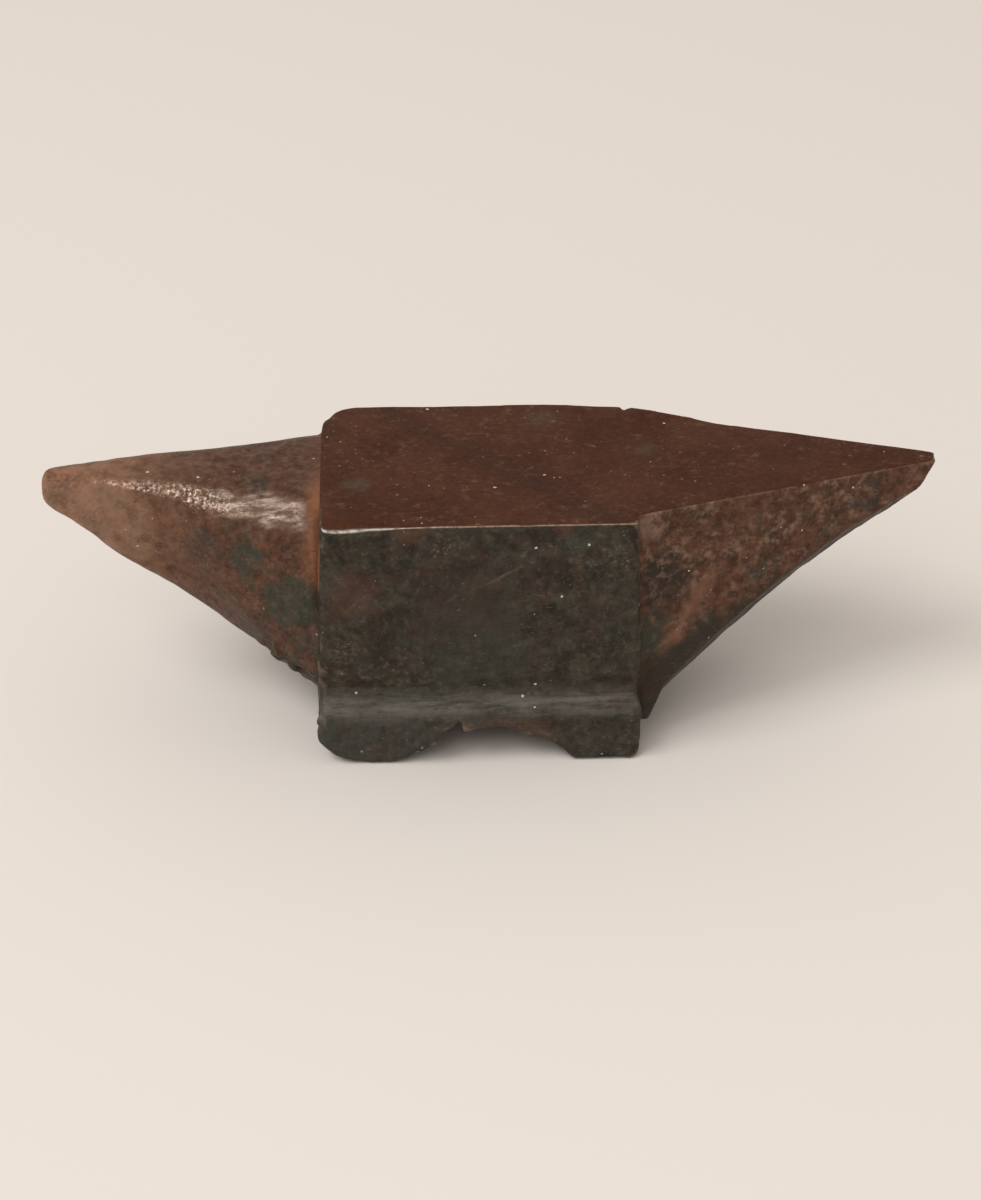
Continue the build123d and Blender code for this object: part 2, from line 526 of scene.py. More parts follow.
def combined(mesh, *steps):
    """A mesh after one boolean for each (operation, other mesh)."""
    item = temporary(mesh)
    others = []
    for operation, other in steps:
        others.append(temporary(other))
        add_boolean(item, others[-1], operation)
    result = evaluated_mesh(item)
    for work in (item, *others):
        bpy.data.objects.remove(work)
    return result


def stub_space(low_x, high_x):
    """A beak's stub inside the core, between two places along the anvil."""
    low = (low_x, -STUB_WIDTH / 2, STUB_MIDDLE - STUB_HEIGHT / 2)
    return block(low, (high_x, STUB_WIDTH / 2, STUB_MIDDLE + STUB_HEIGHT / 2))


def piece_domains():
    """The space that belongs to each piece, cut along the CAD part's own joints."""
    left_end = [(base_left, shoulder_z), (face_left, plate_z)]
    right_end = [(face_right, plate_z), (base_right, shoulder_z)]
    horn_outline = [(-FAR, -FAR), (base_left, -FAR), *left_end, (face_left, FAR), (-FAR, FAR)]
    heel_outline = [(FAR, -FAR), (FAR, plate_z), *right_end, (base_right, -FAR)]
    horn_space = prism(horn_outline, -FAR, FAR)
    heel_space = prism(heel_outline, -FAR, FAR)
    core_space = prism([*left_end, *right_end], -FAR, FAR)
    left_stub = stub_space(face_left - STUB_OVERLAP, face_left + stub_depth)
    right_stub = stub_space(face_right - stub_depth, face_right + STUB_OVERLAP)
    keel = block(
        (body_x - KEEL_LENGTH / 2, -KEEL_WIDTH / 2, -FAR),
        (body_x + KEEL_LENGTH / 2, KEEL_WIDTH / 2, shoulder_z + KEEL_OVERLAP),
    )
    spaces = {
        "horn": combined(horn_space, ("UNION", left_stub)),
        "heel": combined(heel_space, ("UNION", right_stub)),
        "face_plate": block((face_left, -FAR, plate_z), (FAR, FAR, FAR)),
        "core_block": combined(
            core_space, ("UNION", keel), ("DIFFERENCE", left_stub), ("DIFFERENCE", right_stub)
        ),
    }
    for side, x_low, x_high in (("left", base_left, foot_seam_x), ("right", foot_seam_x, base_right)):
        for face, y_low, y_high in (("front", -FAR, 0), ("rear", 0, FAR)):
            corner = block((x_low, y_low, -FAR), (x_high, y_high, shoulder_z))
            spaces[f"foot_{face}_{side}"] = combined(corner, ("DIFFERENCE", keel))
    return spaces


def sampled(values, points):
    """Values of a grid at points in millimetres, by linear interpolation."""
    place = points / VOXEL - np.array(first_cell)
    corner = np.floor(place).astype(int)
    corner = np.clip(corner, 0, np.array(values.shape) - 2)
    share = place - corner
    total = np.zeros(len(points))
    for dx in (0, 1):
        for dy in (0, 1):
            for dz in (0, 1):
                weight = np.abs(1 - dx - share[:, 0]) * np.abs(1 - dy - share[:, 1])
                weight = weight * np.abs(1 - dz - share[:, 2])
                total += weight * values[corner[:, 0] + dx, corner[:, 1] + dy, corner[:, 2] + dz]
    return total


def paint_attribute(mesh, name, values):
    """Store one number for each point of a mesh, for its material."""
    points = np.zeros(3 * len(mesh.vertices), np.float32)
    mesh.vertices.foreach_get("co", points)
    layer = mesh.attributes.new(name, "FLOAT", "POINT")
    layer.data.foreach_set("value", sampled(values, points.reshape(-1, 3) / MM).astype(np.float32))


# Each piece with the CAD node that it replaces and its material slot
PIECES = {
    "forged_core": ("core_block", "body_iron"),
    "ground_face": ("face_plate", "face_steel"),
    "forged_horn": ("horn", "beak_iron"),
    "forged_heel": ("heel", "beak_iron"),
    "front_left_foot": ("foot_front_left", "foot_iron"),
    "front_right_foot": ("foot_front_right", "foot_iron"),
    "rear_left_foot": ("foot_rear_left", "foot_iron"),
    "rear_right_foot": ("foot_rear_right", "foot_iron"),
}

# Steeper creases than this stay sharp
SMOOTH_ANGLE = math.radians(62)


def make_pieces(materials):
    """Forge the skin, cut it into its pieces and dress them."""
    field = forged_skin()
    skin = skin_mesh(field)
    fine_edges = blurred(field, 1.1) - field
    broad_edges = blurred(field, 3) - field
    spaces = piece_domains()
    for name, (node, slot) in PIECES.items():
        mesh = combined(skin, ("INTERSECT", spaces[node]))
        mesh.name = name
        mesh.polygons.foreach_set("use_smooth", np.ones(len(mesh.polygons), bool))
        mesh.set_sharp_from_angle(angle=SMOOTH_ANGLE)
        paint_attribute(mesh, "fine_edge", fine_edges)
        paint_attribute(mesh, "broad_edge", broad_edges)
        mesh.materials.clear()
        mesh.materials.append(materials[slot])
        piece = bpy.data.objects.new(name, mesh)
        bpy.context.scene.collection.objects.link(piece)
        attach(piece, "root")
        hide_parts(node)


# ---------------------------------------------------------------- materials

def tone(red, green, blue):
    """A colour given as screen values from 0 to 255, as the linear values shaders use."""
    return tuple(((value / 255 + 0.055) / 1.055) ** 2.4 for value in (red, green, blue))


class Finish:
    """One material. Each call adds a node and returns its output, to be used by the next."""

    def __init__(self, name):
        self.material = bpy.data.materials.new(name)
        self.material.use_nodes = True
        self.tree = self.material.node_tree
        self.shader = self.tree.nodes["Principled BSDF"]
        coordinates = self.add("TexCoord").outputs["Object"]
        scale = self.add("VectorMath")
        scale.operation = "SCALE"
        self.put(scale.inputs[0], coordinates)
        self.put(scale.inputs["Scale"], 1 / MM)
        self.place = scale.outputs[0]
        split = self.add("SeparateXYZ")
        self.put(split.inputs[0], self.place)
        self.x, self.y, self.z = split.outputs
        facing = self.add("SeparateXYZ")
        self.put(facing.inputs[0], self.add("NewGeometry").outputs["Normal"])
        self.upward = facing.outputs["Z"]

    def add(self, kind):
        return self.tree.nodes.new("ShaderNode" + kind)

    def put(self, socket, value):
        """Link an output to a socket, or set the socket to a number or colour."""
        if isinstance(value, bpy.types.NodeSocket):
            self.tree.links.new(value, socket)
        elif isinstance(value, tuple) and len(value) == 3 and socket.type == "RGBA":
            socket.default_value = (*value, 1)
        else:
            socket.default_value = value

    def math(self, operation, first, second=0.0):
        node = self.add("Math")
        node.operation = operation
        self.put(node.inputs[0], first)
        self.put(node.inputs[1], second)
        return node.outputs[0]

    def plus(self, first, second):
        return self.math("ADD", first, second)

    def minus(self, first, second):
        return self.math("SUBTRACT", first, second)

    def times(self, first, *others):
        for other in others:
            first = self.math("MULTIPLY", first, other)
        return first

    def most(self, first, *others):
        for other in others:
            first = self.math("MAXIMUM", first, other)
        return first

    def ramp(self, value, start, end, low=0.0, high=1.0):
        """low up to start, high beyond end and smooth between them."""
        node = self.add("MapRange")
        node.interpolation_type = "SMOOTHSTEP"
        for name, amount in (("Value", value), ("From Min", start), ("From Max", end)):
            self.put(node.inputs[name], amount)
        self.put(node.inputs["To Min"], low)
        self.put(node.inputs["To Max"], high)
        return node.outputs[0]

    def shifted(self, shift, stretch=(1, 1, 1), turn=0.0):
        """The place moved by a shift of its own, so that no two noises match."""
        node = self.add("Mapping")
        self.put(node.inputs["Vector"], self.place)
        node.inputs["Location"].default_value = (shift, shift * 1.7, -shift)
        node.inputs["Rotation"].default_value = (0, turn, turn)
        node.inputs["Scale"].default_value = stretch
        return node.outputs[0]

    def noise(
        self, size, detail=3.0, shift=0.0, stretch=(1, 1, 1), turn=0.0, rough=0.55, distortion=0.0
    ):
        """Cloudy noise from 0 to 1 whose clouds are size mm across."""
        node = self.add("TexNoise")
        self.put(node.inputs["Vector"], self.shifted(shift, stretch, turn))
        node.inputs["Scale"].default_value = 1 / size
        node.inputs["Detail"].default_value = detail
        node.inputs["Roughness"].default_value = rough
        node.inputs["Distortion"].default_value = distortion
        return node.outputs["Fac"]

    def wander(self, reach, *noise, **more):
        """Noise centred on 0, for broken outlines and wandering lines."""
        return self.times(self.minus(self.noise(*noise, **more), 0.5), reach)

    def specks(self, size, radius, share, shift=0.0):
        """1 inside small ragged specks on cells size mm across. Only a share of the cells have one."""
        node = self.add("TexVoronoi")
        self.put(node.inputs["Vector"], self.shifted(shift))
        node.inputs["Scale"].default_value = 1 / size
        pick = self.add("SeparateColor")
        self.put(pick.inputs[0], node.outputs["Color"])
        chosen = self.math("LESS_THAN", pick.outputs[0], share)
        reach = self.times(pick.outputs[1], radius / size)
        ragged = self.wander(1.6 * radius / size, radius, 2, shift)
        spot = self.math("LESS_THAN", self.plus(node.outputs["Distance"], ragged), reach)
        return self.times(chosen, spot)

    def mix(self, share, first, second):
        """The first colour at share 0, the second at 1."""
        node = self.add("Mix")
        node.data_type = "RGBA"
        self.put(node.inputs[0], share)
        self.put(node.inputs[6], first)
        self.put(node.inputs[7], second)
        return node.outputs[2]

    def shade(self, colour, factor):
        """A colour made darker or lighter by a factor."""
        node = self.add("VectorMath")
        node.operation = "SCALE"
        self.put(node.inputs[0], colour)
        self.put(node.inputs["Scale"], factor)
        return node.outputs[0]

    def stain(self, place, reach, shift=0.0, core=0.45):
        """1 out to a share of the reach round a place, fading to 0, with a broken outline."""
        node = self.add("VectorMath")
        node.operation = "DISTANCE"
        self.put(node.inputs[0], self.place)
        node.inputs[1].default_value = place
        ragged = self.wander(2.4 * reach, 6, 5, shift, rough=0.65)
        distance = self.plus(node.outputs["Value"], ragged)
        return self.ramp(distance, core * reach, 1.1 * reach, 1.0, 0.0)

    def scratch(self, middle, direction, length, width):
        """1 along a fine straight scratch, fading towards its ends."""
        direction = tuple(Vector(direction).normalized())
        from_middle = self.vector("SUBTRACT", self.place, middle)
        along = self.vector("DOT_PRODUCT", from_middle, direction)
        aside = self.vector("LENGTH", self.vector("CROSS_PRODUCT", from_middle, direction))
        uneven = self.math("ABSOLUTE", self.wander(2.2, 4, 3, 64))
        line = self.near(self.plus(aside, uneven), 0, width)
        return self.times(line, self.near(along, 0, length / 2))

    def vector(self, operation, first, second=(0, 0, 0)):
        node = self.add("VectorMath")
        node.operation = operation
        self.put(node.inputs[0], first)
        self.put(node.inputs[1], second)
        return node.outputs["Value" if operation in ("DOT_PRODUCT", "LENGTH") else "Vector"]

    def stored(self, name):
        """A number stored at each point of the mesh."""
        node = self.add("Attribute")
        node.attribute_name = name
        return node.outputs["Fac"]

    def near(self, value, middle, reach):
        """1 at the middle, falling to 0 at a distance."""
        gap = self.math("ABSOLUTE", self.minus(value, middle))
        return self.ramp(gap, 0.0, reach, 1.0, 0.0)


# The anvil's colours
SCALE_GREY = tone(62, 58, 49)
SCALE_DARK = tone(50, 45, 38)
SCALE_PURPLE = tone(64, 50, 45)
SCALE_GREEN = tone(58, 62, 54)
RUST_DARK = tone(58, 36, 27)
RUST_LIGHT = tone(105, 73, 56)
RUST_RED = tone(100, 62, 50)
RUST_TAN = tone(122, 86, 68)
RUST_PALE = tone(150, 109, 85)
RUST_ORANGE = tone(134, 86, 60)
MOTTLE = tone(136, 110, 94)
LEDGE_DUST_AND_SHEEN = tone(104, 100, 93)
FACE_DARK = tone(66, 36, 23)
FACE_LIGHT = tone(79, 46, 31)
FACE_BAND = tone(56, 36, 26)
EDGE_WORN = tone(158, 134, 116)
EDGE_WHITE = tone(205, 198, 188)
FLECK = tone(188, 180, 168)
GRAIN_PALE = tone(108, 98, 84)
SCRATCH = tone(124, 104, 98)
FACE_SPOT = tone(88, 82, 68)
FOOT_GREY = tone(71, 71, 67)
# Pale tone of the horn's rubbed shoulder: partly burnished metal, partly painted highlight
BURNISHED_HIGHLIGHT = tone(196, 176, 160)

# Rust's dull reflection, and the spacing of its pits in mm
IRON_SPECULAR = 0.08
PIT_SPACING = 1.7


def iron_skin(finish, brown):
    """Forged iron's colour: dark grey-green scale under brown rust, with painted shade on the undersides.

    brown says how much of the surface is rusty, from 0 to 1."""
    clouds = finish.noise(15, 6, 3, rough=0.62, distortion=0.6)
    fine = finish.noise(2.6, 5, 11, rough=0.7)
    scale = finish.mix(finish.ramp(finish.noise(9, 5, 21), 0.36, 0.64), SCALE_GREY, SCALE_DARK)
    purple = finish.ramp(finish.noise(13, 4, 31, distortion=0.8), 0.5, 0.68, 0, 0.7)
    scale = finish.mix(purple, scale, SCALE_PURPLE)
    rust = finish.mix(fine, RUST_DARK, RUST_LIGHT)
    level = 0.78 - 0.5 * brown
    mask = finish.plus(clouds, finish.times(finish.minus(fine, 0.5), 0.35))
    rusty = finish.ramp(mask, level - 0.12, level + 0.1, 0, min(brown + 0.35, 1))
    colour = finish.mix(rusty, scale, rust)
    green = finish.ramp(finish.noise(13, 5, 41, rough=0.65, distortion=0.5), 0.57, 0.67, 0, 0.7)
    colour = finish.mix(green, colour, SCALE_GREEN)
    grain = finish.ramp(finish.noise(2.2, 5, 52, rough=0.68), 0.5, 0.76, 0, 0.42)
    colour = finish.mix(grain, colour, GRAIN_PALE)
    grime = finish.ramp(finish.noise(4.2, 6, 51, rough=0.75), 0.32, 0.68, 0.58, 1.33)
    # Painted shade: surfaces facing downwards are darkened, down to half, as if in shadow.
    underside_shade = finish.ramp(finish.upward, -0.8, -0.35, 0.5, 1.0)
    return finish.shade(colour, finish.times(grime, underside_shade))


def add_wear(finish, colour, polish, dust):
    """Lighter metal along worn edges, dark hollows, faint scratches and pale specks."""
    broken = finish.ramp(finish.noise(4, 4, 61), 0.32, 0.6, 0.15, 1)
    edge = finish.times(finish.ramp(finish.stored("fine_edge"), 0.32, 0.46), broken)
    colour = finish.mix(finish.times(edge, polish), colour, EDGE_WORN)
    hollow = finish.ramp(finish.stored("broad_edge"), -0.6, -0.1, 0.5, 1.0)
    colour = finish.shade(colour, hollow)
    streaks = finish.noise(2.4, 3, 65, stretch=(1, 1, 7), turn=0.9)
    streaks = finish.ramp(streaks, 0.64, 0.74, 0, 0.45)
    streaks = finish.times(streaks, finish.ramp(finish.noise(16, 2, 66), 0.5, 0.6))
    colour = finish.mix(streaks, colour, EDGE_WORN)
    clusters = finish.ramp(finish.noise(18, 2, 72), 0.48, 0.62, 0.15, 1)
    sparkle = finish.times(finish.specks(1.9, 0.36, 0.2, 73), clusters)
    flecks = finish.most(finish.specks(4.2, 0.55, dust, 71), finish.times(sparkle, 0.65))
    return finish.mix(flecks, colour, FLECK), edge


def add_relief(finish, pits, grain):
    """Height for the bump: rust pits, blisters and fine grain."""
    node = finish.add("TexVoronoi")
    node.feature = "SMOOTH_F1"
    finish.put(node.inputs["Vector"], finish.shifted(5))
    node.inputs["Scale"].default_value = 1 / PIT_SPACING
    hole = finish.ramp(node.outputs["Distance"], 0.1, 0.5, 0.0, 1.0)
    where = finish.ramp(finish.noise(10, 3, 81), 0.42, 0.6)
    height = finish.times(hole, where, pits)
    height = finish.plus(height, finish.times(finish.noise(1.1, 5, 91, rough=0.7), grain))
    height = finish.plus(height, finish.times(finish.noise(4.5, 3, 95), grain * 1.3))
    bump_node = finish.add("Bump")
    bump_node.inputs["Strength"].default_value = 1.0
    bump_node.inputs["Distance"].default_value = MM
    finish.put(bump_node.inputs["Height"], height)
    finish.put(finish.shader.inputs["Normal"], bump_node.outputs[0])


def finish_up(finish, colour, roughness, edge, bright=0.0):
    """Connect the colour, the roughness and the sheen of bare and burnished metal."""
    shader = finish.shader
    finish.put(shader.inputs["Base Color"], colour)
    varied = finish.plus(roughness, finish.wander(0.3, 3, 4, 99))
    varied = finish.minus(varied, finish.times(edge, 0.12))
    finish.put(shader.inputs["Roughness"], varied)
    finish.put(shader.inputs["Metallic"], finish.plus(finish.times(edge, 0.3), bright))
    shader.inputs["Specular IOR Level"].default_value = IRON_SPECULAR
    return finish.material


# How rusty, rough and pitted the iron is, how metallic its rubbed shoulder and how deep its grain in mm
BODY_BROWN = 0.16
BODY_ROUGH = 0.5
BODY_PITS = 0.12
FOOT_PITS = 0.2
BEAK_BROWN = 0.85
BEAK_ROUGH = 0.42
BEAK_PITS = 0.32
BURNISH = 0.62
FACE_ROUGH = 0.55
GRAIN = 0.18


# Marks on the core's front: x, height and reach of its rust stains and of its pale crust, and x, height,
# slope and length of its scratches
FRONT_RUST = (
    (face_left + 28, top_z - 2, 6),
    (face_left + 78, top_z - 1, 5),
    (face_left + 11, 63, 10),
)
FRONT_CRUST = (
    (body_x - 12, top_z - 9, 8),
    (face_right - 5, top_z - 14, 9),
    (face_left + 6, 44, 7),
)
FRONT_SCRATCHES = (
    (body_x + 7, 70, 0.55, 20),
    (body_x - 8, 63, 0.7, 12),
    (body_x - 40, 61, 0.9, 10),
)


def body_colour(finish):
    """The core's scale: green below and purplish above on its front, with rust, crust and scratches."""
    front = plate_low.y
    colour = iron_skin(finish, BODY_BROWN)
    low_green = finish.stain((body_x - 2, front, 44), 24, 7)
    colour = finish.mix(finish.times(low_green, 0.4), colour, SCALE_GREEN)
    middle = finish.stain((body_x - 6, front, 64), 22, 9)
    colour = finish.mix(finish.times(middle, 0.4), colour, SCALE_PURPLE)
    for x, z, reach in FRONT_RUST:
        stain = finish.stain((x, front, z), reach, x)
        colour = finish.mix(finish.times(stain, 0.3), colour, RUST_RED)
    crust = finish.ramp(finish.noise(1.3, 4, 36, rough=0.7), 0.52, 0.66)
    for x, z, reach in FRONT_CRUST:
        cluster = finish.stain((x, front, z), reach, x, core=0)
        colour = finish.mix(finish.times(cluster, crust, 0.5), colour, MOTTLE)
    for x, z, slope, length in FRONT_SCRATCHES:
        line = finish.scratch((x, front, z), (1, 0, slope), length, 1.1)
        colour = finish.mix(finish.times(line, 0.4), colour, SCRATCH)
    return colour


def body_iron():
    """The core: nearly black, grey-green scale with a few brown and purplish patches."""
    finish = Finish("body_iron")
    colour, edge = add_wear(finish, body_colour(finish), 0.22, 0.04)
    add_relief(finish, BODY_PITS, GRAIN)
    return finish_up(finish, colour, BODY_ROUGH, finish.times(edge, 0.35))


# Small fresh chips on the front of the feet: x, height and reach
BRIGHT_CHIPS = (
    (base_right - 13.5, 22.4, 0.9),
    (base_right - 11.8, 24.2, 0.8),
    (base_right - 22, 22.2, 0.6),
    (body_x - 20.6, 4.6, 1.0),
    (body_x - 19.4, 6.6, 0.8),
    (body_x - 16.8, 9.4, 0.8),
    (base_left + 19, 20.6, 1.1),
)


def foot_iron():
    """The feet: like the core, with a lighter ledge band of dust and painted highlight, tan rust round
    the arches and fresh chips.
    """
    finish = Finish("foot_iron")
    colour = iron_skin(finish, BODY_BROWN)
    grey = finish.ramp(finish.x, body_x + 25, body_x - 25, 0.15, 0.6)
    grey = finish.times(grey, finish.ramp(finish.noise(6, 5, 43, rough=0.7), 0.35, 0.62, 0.3, 1.1))
    colour = finish.mix(grey, colour, FOOT_GREY)
    side = finish.ramp(finish.math("ABSOLUTE", finish.y), 37, 42)
    # Lighter band along the ledge: partly dust, partly a painted highlight where the sloping ledge
    # catches the overhead light.
    ledge = finish.times(finish.near(finish.z, shoulder_z - 7, 7), side)
    streaks = finish.noise(4.5, 5, 12, stretch=(0.3, 1, 1.8), rough=0.75)
    ledge = finish.times(ledge, finish.ramp(streaks, 0.36, 0.64, 0.1, 0.85))
    colour = finish.mix(ledge, colour, LEDGE_DUST_AND_SHEEN)
    height = finish.times(finish.ramp(finish.z, 4, 9), finish.ramp(finish.z, 14, 18, 1, 0))
    broken = finish.ramp(finish.noise(5, 5, 13, rough=0.65), 0.38, 0.62, 0.05, 0.6)
    arch = finish.times(height, finish.near(finish.x, body_x + 6, 26), broken)
    colour = finish.mix(arch, colour, RUST_TAN)
    colour, edge = add_wear(finish, colour, 0.22, 0.1)
    for x, z, reach in BRIGHT_CHIPS:
        chip = finish.stain((x, base_front, z), reach, x, core=0.2)
        colour = finish.mix(finish.times(chip, 0.85), colour, EDGE_WHITE)
    add_relief(finish, FOOT_PITS, GRAIN)
    return finish_up(finish, colour, BODY_ROUGH, finish.times(edge, 0.35))


def beak_iron():
    """The horn and heel: mottled brown rust, pitted, with a sheen and a painted highlight on the horn's
    shoulder.
    """
    finish = Finish("beak_iron")
    colour, edge = add_wear(finish, beak_colour(finish), 0.3, 0.12)
    add_relief(finish, BEAK_PITS, GRAIN)
    bright = shoulder_highlight(finish)
    # Painted highlight: the shoulder's base colour is lightened towards a pale tone where the highlight
    # falls; the metal there is also made metallic.
    colour = finish.mix(bright, colour, BURNISHED_HIGHLIGHT)
    return finish_up(finish, colour, BEAK_ROUGH, edge, finish.times(bright, BURNISH))


def shoulder_highlight(finish):
    """The horn's front shoulder: rubbed metal, painted lighter as a highlight where the light falls, with
    crusty specks to the left and streaks at the root.
    """
    slope = finish.times(
        finish.ramp(finish.upward, 0.45, 0.72),
        finish.ramp(finish.upward, 0.9, 0.985, 1, 0),
        finish.ramp(finish.y, -3, -9),
    )
    length = finish.times(
        finish.ramp(finish.x, nose_x + 14, nose_x + 28),
        finish.ramp(finish.x, face_left - 3, face_left - 8),
    )
    crust = finish.ramp(finish.noise(1.2, 5, 33, rough=0.8), 0.46, 0.6)
    crust = finish.times(crust, finish.ramp(finish.noise(7, 4, 35, rough=0.6), 0.34, 0.5, 0.25, 1))
    streaks = finish.noise(2.6, 5, 34, stretch=(0.25, 1, 1), rough=0.7)
    streaks = finish.ramp(streaks, 0.4, 0.62, 0.1, 0.75)
    root = finish.ramp(finish.x, face_left - 38, face_left - 24)
    rubbed = finish.plus(finish.times(root, streaks), finish.times(finish.minus(1, root), crust))
    return finish.times(slope, length, rubbed)


# Stains on the front of the beaks: place, reach, colour and strength
beak_front = base_front + 12
BEAK_STAINS = (
    ((face_left - 27, beak_front - 1, 70), 11, SCALE_GREEN, 0.9),
    ((face_left - 10, beak_front, 56), 14, SCALE_GREEN, 0.8),
    ((face_left - 21, beak_front - 1, 75), 6, RUST_ORANGE, 0.6),
    ((face_left - 42, beak_front + 8, 66), 12, SCALE_PURPLE, 0.6),
    ((face_right + 9, beak_front, 63), 12, SCALE_DARK, 0.85),
    ((face_right + 5, beak_front - 2, 42), 10, SCALE_GREEN, 0.8),
    ((face_right + 4, beak_front - 4, top_z - 6), 6, MOTTLE, 0.5),
)


def heel_streak(finish):
    """A tan streak that runs down the heel's front towards its root."""
    along_x = finish.times(finish.minus(finish.x, face_right + 17), 0.87)
    along_z = finish.times(finish.minus(finish.z, 47), 0.49)
    wander = finish.wander(9, 5, 5, 27, rough=0.65)
    return finish.times(
        finish.near(finish.plus(finish.minus(along_x, along_z), wander), 0, 5),
        finish.ramp(finish.z, 27, 33),
        finish.ramp(finish.z, 58, 68, 1, 0),
        finish.ramp(finish.x, face_right, face_right + 2),
    )


def beak_colour(finish):
    """Brown rust, paler at the nose, with mottling, orange and dark stains and a dark lower rim."""
    colour = iron_skin(finish, BEAK_BROWN)
    nose = finish.ramp(finish.x, nose_x, nose_x + 66, 0.95, 0)
    nose = finish.times(nose, finish.ramp(finish.noise(6, 6, 15, rough=0.7), 0.34, 0.62, 0.3, 1))
    colour = finish.mix(nose, colour, RUST_PALE)
    for number, (place, reach, tint, strength) in enumerate(BEAK_STAINS):
        stain = finish.stain(place, reach, 20 + 3 * number)
        colour = finish.mix(finish.times(stain, strength), colour, tint)
    colour = finish.mix(finish.times(heel_streak(finish), 0.7), colour, RUST_TAN)
    root = finish.times(
        finish.near(finish.x, face_left - 1, 6),
        finish.ramp(finish.z, 60, 68),
        finish.ramp(finish.y, -18, 0, 1, 0.15),
        finish.ramp(finish.noise(7, 5, 16), 0.3, 0.5),
    )
    colour = finish.mix(finish.times(root, 0.8), colour, RUST_ORANGE)
    low = finish.ramp(finish.z, 28, 56, 1, 0)
    low = finish.times(low, finish.ramp(finish.noise(12, 5, 17), 0.42, 0.58, 0, 0.75))
    colour = finish.mix(low, colour, SCALE_GREEN)
    mottle = finish.ramp(finish.noise(3.2, 4, 14, rough=0.62), 0.46, 0.7, 0, 0.62)
    patches = finish.ramp(finish.noise(14, 3, 18), 0.34, 0.56, 0.35, 1)
    horn_share = finish.ramp(finish.x, nose_x + 20, nose_x + 45, 0.8, 0.4)
    heel_share = finish.ramp(finish.x, face_left, face_right, 0, 1.15)
    upper = finish.times(finish.ramp(finish.z, 50, 76, 0.7, 1), finish.most(horn_share, heel_share))
    colour = finish.mix(finish.times(mottle, patches, upper), colour, MOTTLE)
    heel_slope = (TIP_Z - shoulder_z) / (tip_x - base_right)
    above = finish.minus(finish.z, finish.times(finish.x, heel_slope))
    above = finish.plus(above, finish.times(finish.noise(7, 5, 26), 9))
    rim = finish.ramp(above, 11.5, 17, 0.75, 0)
    rim = finish.times(rim, finish.ramp(finish.x, face_right, face_right + 2))
    return finish.mix(rim, colour, SCALE_DARK)


# Marks on the face: x, y and reach of its grey-green spots, and x, y, turn and length of its scratches
FACE_SPOTS = (
    (body_x - 39, -13, 7.8),
    (body_x + 23, 31, 7.8),
    (body_x + 57, 7, 6.5),
)
FACE_SCRATCHES = (
    (body_x + 13, -31, 0.1, 9),
    (body_x - 21, 8, 0.5, 16),
    (body_x + 19, -8, -0.3, 12),
)


def face_colour(finish):
    """Reddish brown patina with a darker band across it, grey-green spots and fine scuffs."""
    top = finish.mix(finish.ramp(finish.noise(20, 5, 1, rough=0.6), 0.3, 0.7), FACE_DARK, FACE_LIGHT)
    across = finish.plus(finish.times(finish.x, 0.74), finish.times(finish.y, 0.67))
    band = finish.near(finish.plus(across, finish.wander(16, 18, 4, 2)), 0.7, 9)
    top = finish.mix(finish.times(band, 0.55), top, FACE_BAND)
    for x, y, reach in FACE_SPOTS:
        stain = finish.stain((x, y, top_z), reach, x, core=-0.6)
        top = finish.mix(finish.times(stain, 0.5), top, FACE_SPOT)
    scuffs = finish.ramp(finish.noise(3.2, 5, 9, stretch=(0.8, 1, 1), rough=0.8), 0.5, 0.74, 0, 0.42)
    scuffs = finish.times(scuffs, finish.ramp(finish.noise(13, 4, 28, rough=0.6), 0.4, 0.62, 0.25, 1))
    top = finish.mix(scuffs, top, MOTTLE)
    for x, y, turn, length in FACE_SCRATCHES:
        line = finish.scratch((x, y, top_z), (1, turn, 0), length, 0.8)
        top = finish.mix(finish.times(line, 0.35), top, SCRATCH)
    fine = finish.ramp(finish.noise(1.8, 5, 8, rough=0.75), 0.3, 0.7, 0.8, 1.2)
    return finish.shade(top, fine)


def front_rim(finish):
    """A thin line of bare metal along the face's front edge, and where it is whitest."""
    left = finish.ramp(finish.x, face_left + 22, face_left + 40, 0.7, 0)
    line = finish.times(
        finish.near(finish.upward, 0.68, finish.ramp(left, 0, 0.7, 0.26, 0.17)),
        finish.ramp(finish.y, plate_low.y + 3, plate_low.y + 1.5),
        finish.ramp(finish.z, top_z - 6, top_z - 4.5),
        finish.ramp(finish.x, face_right - 1, face_right, 1, 0),
        finish.ramp(finish.noise(2.2, 4, 62, rough=0.7), 0.34, 0.56, 0.3, 0.9),
    )
    return line, left


def face_steel():
    """The plate: smooth reddish brown on top, and like its neighbours on its sides."""
    finish = Finish("face_steel")
    seam = (face_right - 0.5, face_right + 0.5)
    sides = finish.mix(finish.ramp(finish.x, *seam), body_colour(finish), beak_colour(finish))
    side_share = finish.ramp(finish.upward, 0.72, 0.92, 1, 0)
    colour = finish.mix(side_share, face_colour(finish), sides)
    colour, edge = add_wear(finish, colour, 0.3, 0.16)
    rim, left = front_rim(finish)
    colour = finish.mix(rim, colour, finish.mix(left, EDGE_WORN, EDGE_WHITE))
    edge = finish.most(edge, rim)
    pits = finish.ramp(finish.x, *seam, BODY_PITS, BEAK_PITS)
    add_relief(finish, finish.times(pits, finish.plus(0.2, side_share)), GRAIN * 0.7)
    rough = finish.ramp(finish.x, *seam, BODY_ROUGH, BEAK_ROUGH)
    rough = finish.most(rough, finish.ramp(side_share, 0, 1, FACE_ROUGH, 0.3))
    return finish_up(finish, colour, rough, edge)


MATERIALS = {
    "body_iron": body_iron(),
    "face_steel": face_steel(),
    "beak_iron": beak_iron(),
    "foot_iron": foot_iron(),
}


# ---------------------------------------------------------------- scene

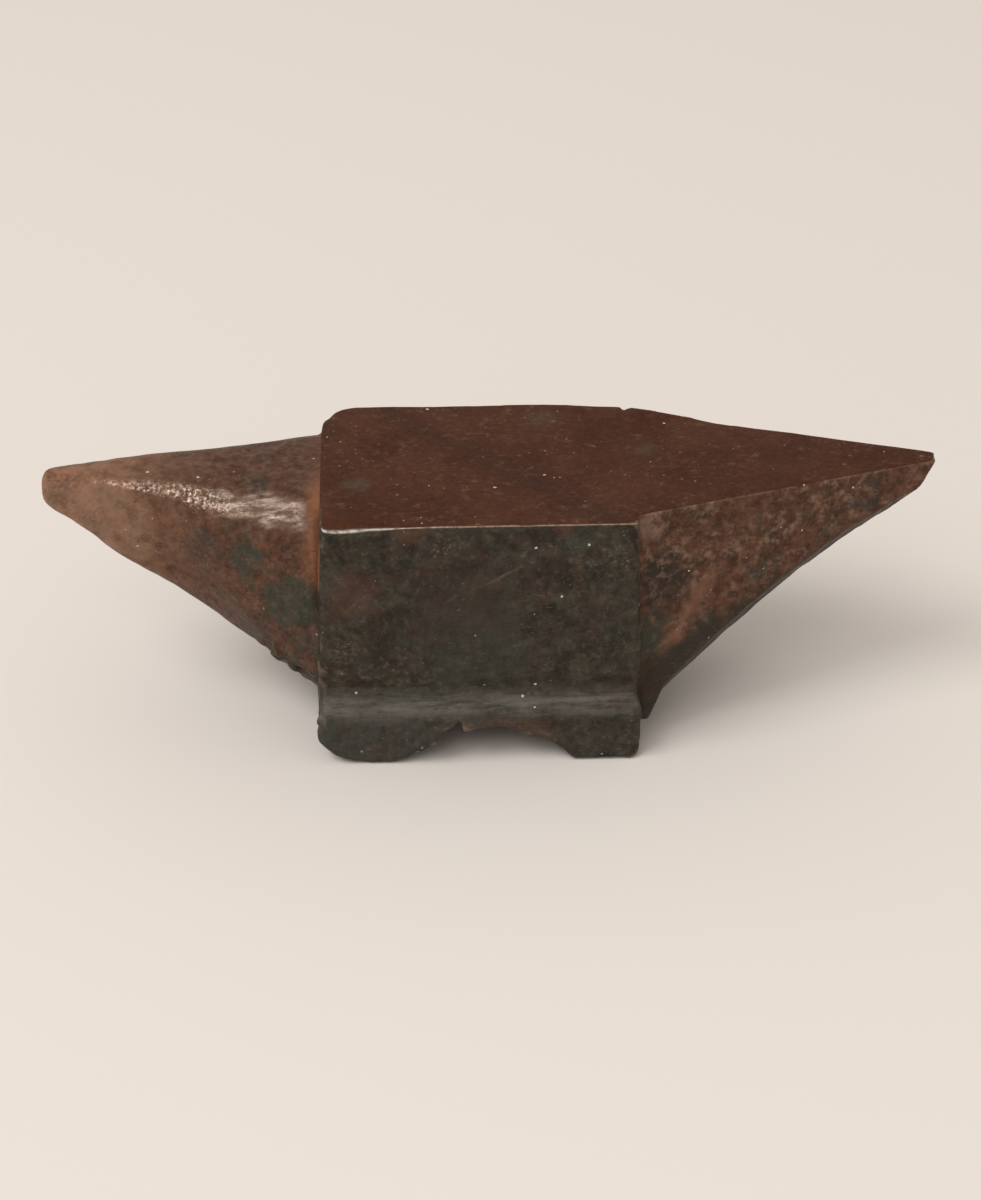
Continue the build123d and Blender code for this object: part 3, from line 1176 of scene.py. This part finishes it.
def make_floor():
    """A large pale floor."""
    reach = 30
    mesh = bpy.data.meshes.new("floor")
    corners = [(-reach, -reach, 0), (reach, -reach, 0), (reach, reach, 0), (-reach, reach, 0)]
    mesh.from_pydata(corners, [], [(0, 1, 2, 3)])
    floor = bpy.data.objects.new("floor", mesh)
    bpy.context.scene.collection.objects.link(floor)
    material = bpy.data.materials.new("pale_paper")
    material.use_nodes = True
    shader = material.node_tree.nodes["Principled BSDF"]
    shader.inputs["Base Color"].default_value = (0.8, 0.755, 0.71, 1)
    shader.inputs["Roughness"].default_value = 0.9
    shader.inputs["Specular IOR Level"].default_value = 0.1
    mesh.materials.append(material)


def area_light(name, place, size, power, colour):
    """A rectangular soft light aimed at the anvil, with its power in watts."""
    lamp = bpy.data.lights.new(name, "AREA")
    lamp.shape = "RECTANGLE"
    lamp.size, lamp.size_y = size
    lamp.energy = power
    lamp.color = colour
    item = bpy.data.objects.new(name, lamp)
    item.location = place
    item.rotation_mode = "QUATERNION"
    item.rotation_quaternion = (-Vector(place)).to_track_quat("-Z", "Y")
    bpy.context.scene.collection.objects.link(item)


def make_lights():
    """A large softbox overhead to the left, a weak fill from the front and a pale room."""
    area_light("overhead_softbox", (-2.4, -1.5, 3.9), (2.3, 1.8), 92, (1, 0.99, 0.975))
    area_light("front_fill", (-0.9, -2.15, 2.3), (1.6, 1.2), 18.5, (1, 0.98, 0.96))
    world = bpy.data.worlds.new("pale_room")
    world.use_nodes = True
    background = world.node_tree.nodes["Background"]
    background.inputs["Color"].default_value = (1, 0.935, 0.875, 1)
    background.inputs["Strength"].default_value = 0.6
    bpy.context.scene.world = world
    bpy.context.scene.view_settings.view_transform = "Standard"


# Camera: the photograph's viewpoint, aimed at the anvil
CAMERA_PLACE = (-0.0313, -0.885, 0.5774)
CAMERA_AIM = (0, 0, 0.036)
CAMERA_LENS = 92
CAMERA_SENSOR = 36


def make_camera():
    """The photograph's viewpoint with a longer lens, so that the anvil fills the picture."""
    camera = bpy.data.objects.new("camera", bpy.data.cameras.new("camera"))
    camera.data.lens = CAMERA_LENS
    camera.data.sensor_width = CAMERA_SENSOR
    camera.location = CAMERA_PLACE
    camera.rotation_mode = "QUATERNION"
    camera.rotation_quaternion = (Vector(CAMERA_AIM) - Vector(CAMERA_PLACE)).to_track_quat("-Z", "Y")
    bpy.context.scene.collection.objects.link(camera)
    bpy.context.scene.camera = camera


make_camera()
make_floor()
make_lights()
make_pieces(MATERIALS)

bpy.context.view_layer.update()
